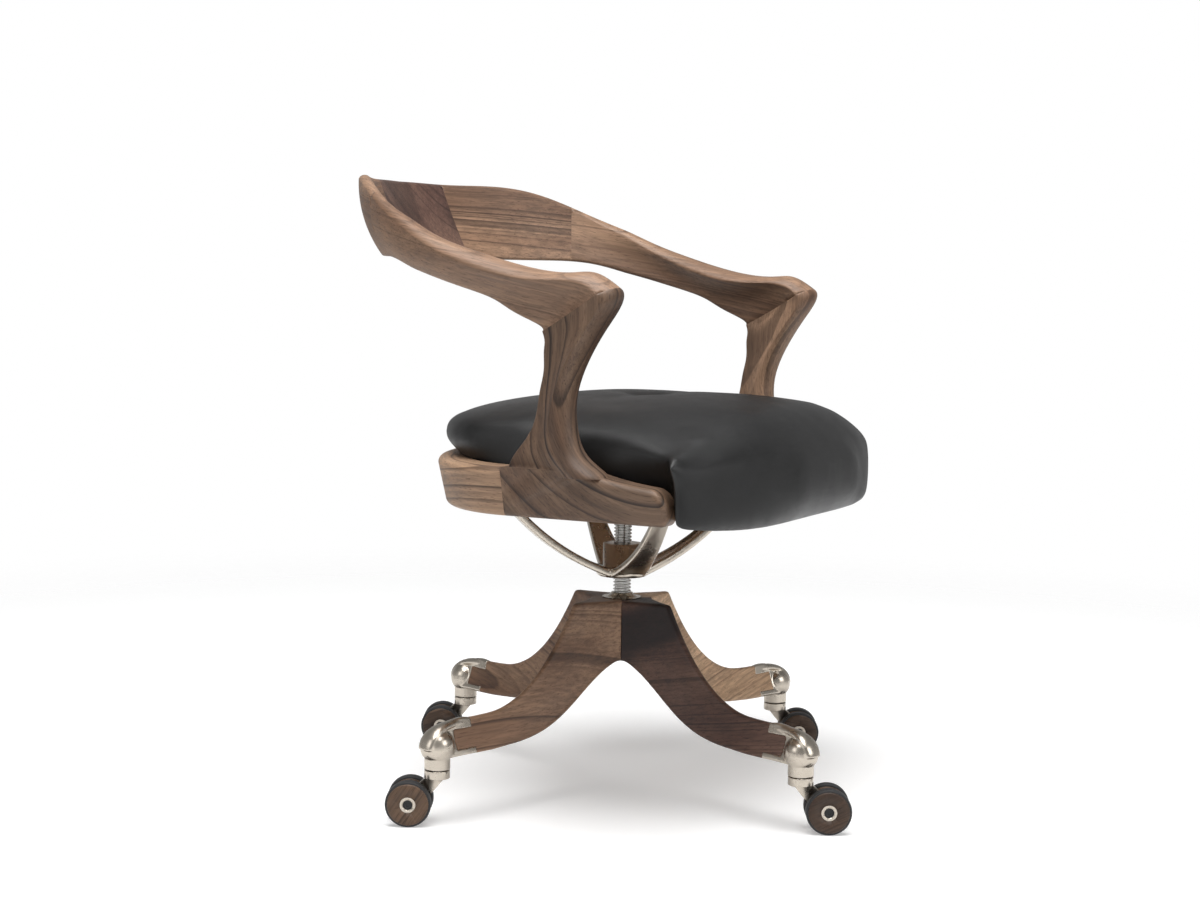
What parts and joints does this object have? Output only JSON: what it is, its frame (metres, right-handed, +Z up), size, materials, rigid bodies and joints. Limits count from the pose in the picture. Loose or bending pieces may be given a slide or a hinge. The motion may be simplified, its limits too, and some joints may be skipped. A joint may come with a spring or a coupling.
{
  "type": "rolling armchair",
  "caption": "Walnut desk armchair: curved back and arm loop on posts, thick leather seat, height screw under a cast spider, and an arched leg base on walnut-wheeled casters.",
  "frame": {"origin": "on the floor under the centre line of the spindle", "axes": "+Z up along the spindle, -Y the way the sitter faces, +X to the sitter's left"},
  "size_m": [0.6146, 0.6456, 0.7112],
  "materials": {
    "walnut": "oiled satin",
    "walnut_disc": "oiled satin",
    "tyre_rubber": "matt",
    "satin_nickel": "satin",
    "bright_steel": "machined",
    "plywood": "raw",
    "black_leather": "soft sheen"
  },
  "bodies": {
    "base": {"base_leg_1": "walnut", "base_leg_2": "walnut", "base_leg_3": "walnut", "base_leg_4": "walnut", "leg_cap_1": "satin_nickel", "leg_cap_2": "satin_nickel", "leg_cap_3": "satin_nickel", "leg_cap_4": "satin_nickel", "cap_screws": "satin_nickel", "spindle_bush": "satin_nickel", "hub_plate": "satin_nickel"},
    "screw": {"spindle": "bright_steel", "spindle_collar": "satin_nickel"},
    "seat": {"seat_spider": "satin_nickel", "height_nut": "satin_nickel", "spider_screws": "satin_nickel", "seat_board": "plywood", "seat_rail_left": "walnut", "seat_rail_right": "walnut", "arm_left": "walnut", "arm_right": "walnut", "shoulder_left": "walnut", "shoulder_right": "walnut", "back_centre": "walnut", "post_left": "walnut", "post_right": "walnut", "frame_dowels": "walnut", "seat_cushion": "black_leather"},
    "caster_1": {"caster_swivel_1": "satin_nickel", "caster_axle_1": "satin_nickel"},
    "roller_1a": {"wheel_1a": "walnut_disc", "tyre_1a": "tyre_rubber"},
    "roller_1b": {"wheel_1b": "walnut_disc", "tyre_1b": "tyre_rubber"},
    "caster_2": {"caster_swivel_2": "satin_nickel", "caster_axle_2": "satin_nickel"},
    "roller_2a": {"wheel_2a": "walnut_disc", "tyre_2a": "tyre_rubber"},
    "roller_2b": {"wheel_2b": "walnut_disc", "tyre_2b": "tyre_rubber"},
    "caster_3": {"caster_swivel_3": "satin_nickel", "caster_axle_3": "satin_nickel"},
    "roller_3a": {"wheel_3a": "walnut_disc", "tyre_3a": "tyre_rubber"},
    "roller_3b": {"wheel_3b": "walnut_disc", "tyre_3b": "tyre_rubber"},
    "caster_4": {"caster_swivel_4": "satin_nickel", "caster_axle_4": "satin_nickel"},
    "roller_4a": {"wheel_4a": "walnut_disc", "tyre_4a": "tyre_rubber"},
    "roller_4b": {"wheel_4b": "walnut_disc", "tyre_4b": "tyre_rubber"}
  },
  "joints": [
    {"name": "seat_swivel", "type": "hinge", "parent": "base", "child": "screw", "pos_m": [0, 0, 0.223], "axis": [0, 0, 1], "continuous": true},
    {"name": "seat_height", "type": "slide", "parent": "screw", "child": "seat", "axis": [0, 0, 1], "range_m": [-0.016, 0.035]},
    {"name": "caster_1_swivel", "type": "hinge", "parent": "base", "child": "caster_1", "pos_m": [0.08884, 0.26553, 0.061], "axis": [0, 0, 1], "continuous": true},
    {"name": "wheel_1a_spin", "type": "hinge", "parent": "caster_1", "child": "roller_1a", "pos_m": [0.06338, 0.28636, 0.025], "axis": [-0.8949, -0.4462, 0], "continuous": true},
    {"name": "wheel_1b_spin", "type": "hinge", "parent": "caster_1", "child": "roller_1b", "pos_m": [0.08754, 0.2984, 0.025], "axis": [-0.8949, -0.4462, 0], "continuous": true},
    {"name": "caster_2_swivel", "type": "hinge", "parent": "base", "child": "caster_2", "pos_m": [-0.26553, 0.08884, 0.061], "axis": [0, 0, 1], "continuous": true},
    {"name": "wheel_2a_spin", "type": "hinge", "parent": "caster_2", "child": "roller_2a", "pos_m": [-0.291, 0.10967, 0.025], "axis": [-0.8949, -0.4462, 0], "continuous": true},
    {"name": "wheel_2b_spin", "type": "hinge", "parent": "caster_2", "child": "roller_2b", "pos_m": [-0.26683, 0.12172, 0.025], "axis": [-0.8949, -0.4462, 0], "continuous": true},
    {"name": "caster_3_swivel", "type": "hinge", "parent": "base", "child": "caster_3", "pos_m": [-0.08884, -0.26553, 0.061], "axis": [0, 0, 1], "continuous": true},
    {"name": "wheel_3a_spin", "type": "hinge", "parent": "caster_3", "child": "roller_3a", "pos_m": [-0.06338, -0.28636, 0.025], "axis": [0.8949, 0.4462, 0], "continuous": true},
    {"name": "wheel_3b_spin", "type": "hinge", "parent": "caster_3", "child": "roller_3b", "pos_m": [-0.08754, -0.2984, 0.025], "axis": [0.8949, 0.4462, 0], "continuous": true},
    {"name": "caster_4_swivel", "type": "hinge", "parent": "base", "child": "caster_4", "pos_m": [0.26553, -0.08884, 0.061], "axis": [0, 0, 1], "continuous": true},
    {"name": "wheel_4a_spin", "type": "hinge", "parent": "caster_4", "child": "roller_4a", "pos_m": [0.291, -0.10967, 0.025], "axis": [0.8949, 0.4462, 0], "continuous": true},
    {"name": "wheel_4b_spin", "type": "hinge", "parent": "caster_4", "child": "roller_4b", "pos_m": [0.26683, -0.12172, 0.025], "axis": [0.8949, 0.4462, 0], "continuous": true}
  ]
}
